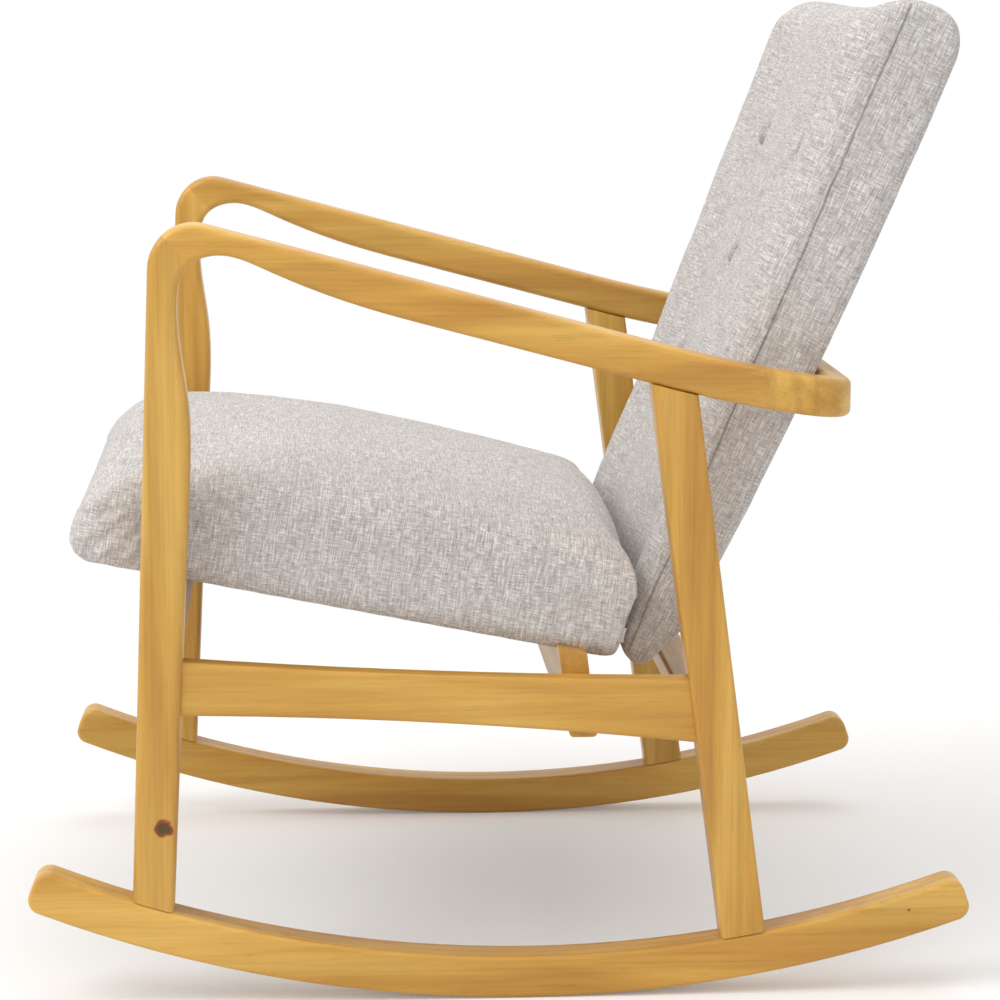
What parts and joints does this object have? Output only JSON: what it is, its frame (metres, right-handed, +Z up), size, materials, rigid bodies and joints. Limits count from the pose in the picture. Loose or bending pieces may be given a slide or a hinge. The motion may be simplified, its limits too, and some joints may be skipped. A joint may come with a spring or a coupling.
{
  "type": "rocking armchair",
  "caption": "Rocking armchair with a sawn hardwood frame on curved rockers, arms that wrap round behind the back, a thick upholstered seat and a winged, button-tufted back.",
  "frame": {"origin": "centre of the chair's footprint, on the floor", "axes": "+Z up; -Y the way the chair faces; +X the sitter's left"},
  "size_m": [0.669, 0.841, 0.8819],
  "materials": {
    "honey_wood": "satin lacquer",
    "dowel_wood": "raw",
    "frame_wood": "raw",
    "linen_weave": "slub weave",
    "foam": "open cell",
    "webbing": "elastic weave",
    "black_lining": "spunbond",
    "twine": "waxed",
    "zinc_steel": "zinc plated"
  },
  "bodies": {
    "root": {"arm_bow": "honey_wood", "back_bottom_rail": "frame_wood", "back_cover": "linen_weave", "back_foam": "foam", "back_left_stile": "frame_wood", "back_lining": "black_lining", "back_middle_rail": "frame_wood", "back_pad": "foam", "back_right_stile": "frame_wood", "back_top_rail": "frame_wood", "back_webbing": "webbing", "bracket_screws": "zinc_steel", "button_twines": "twine", "centre_buttons": "linen_weave", "cross_webbing": "webbing", "frame_dowels": "dowel_wood", "frame_screws": "zinc_steel", "front_seat_rail": "honey_wood", "left_arm": "honey_wood", "left_front_leg": "honey_wood", "left_rear_leg": "honey_wood", "left_rocker": "honey_wood", "left_stretcher": "honey_wood", "leg_rail": "honey_wood", "lower_buttons": "linen_weave", "rail_dowels": "dowel_wood", "rear_seat_rail": "honey_wood", "right_arm": "honey_wood", "right_front_leg": "honey_wood", "right_rear_leg": "honey_wood", "right_rocker": "honey_wood", "right_stretcher": "honey_wood", "seat_back_brackets": "zinc_steel", "seat_cover": "linen_weave", "seat_foam": "foam", "seat_frame_front": "frame_wood", "seat_frame_left": "frame_wood", "seat_frame_rear": "frame_wood", "seat_frame_right": "frame_wood", "seat_lining": "black_lining", "seat_webbing": "webbing", "upper_buttons": "linen_weave"}
  },
  "joints": []
}
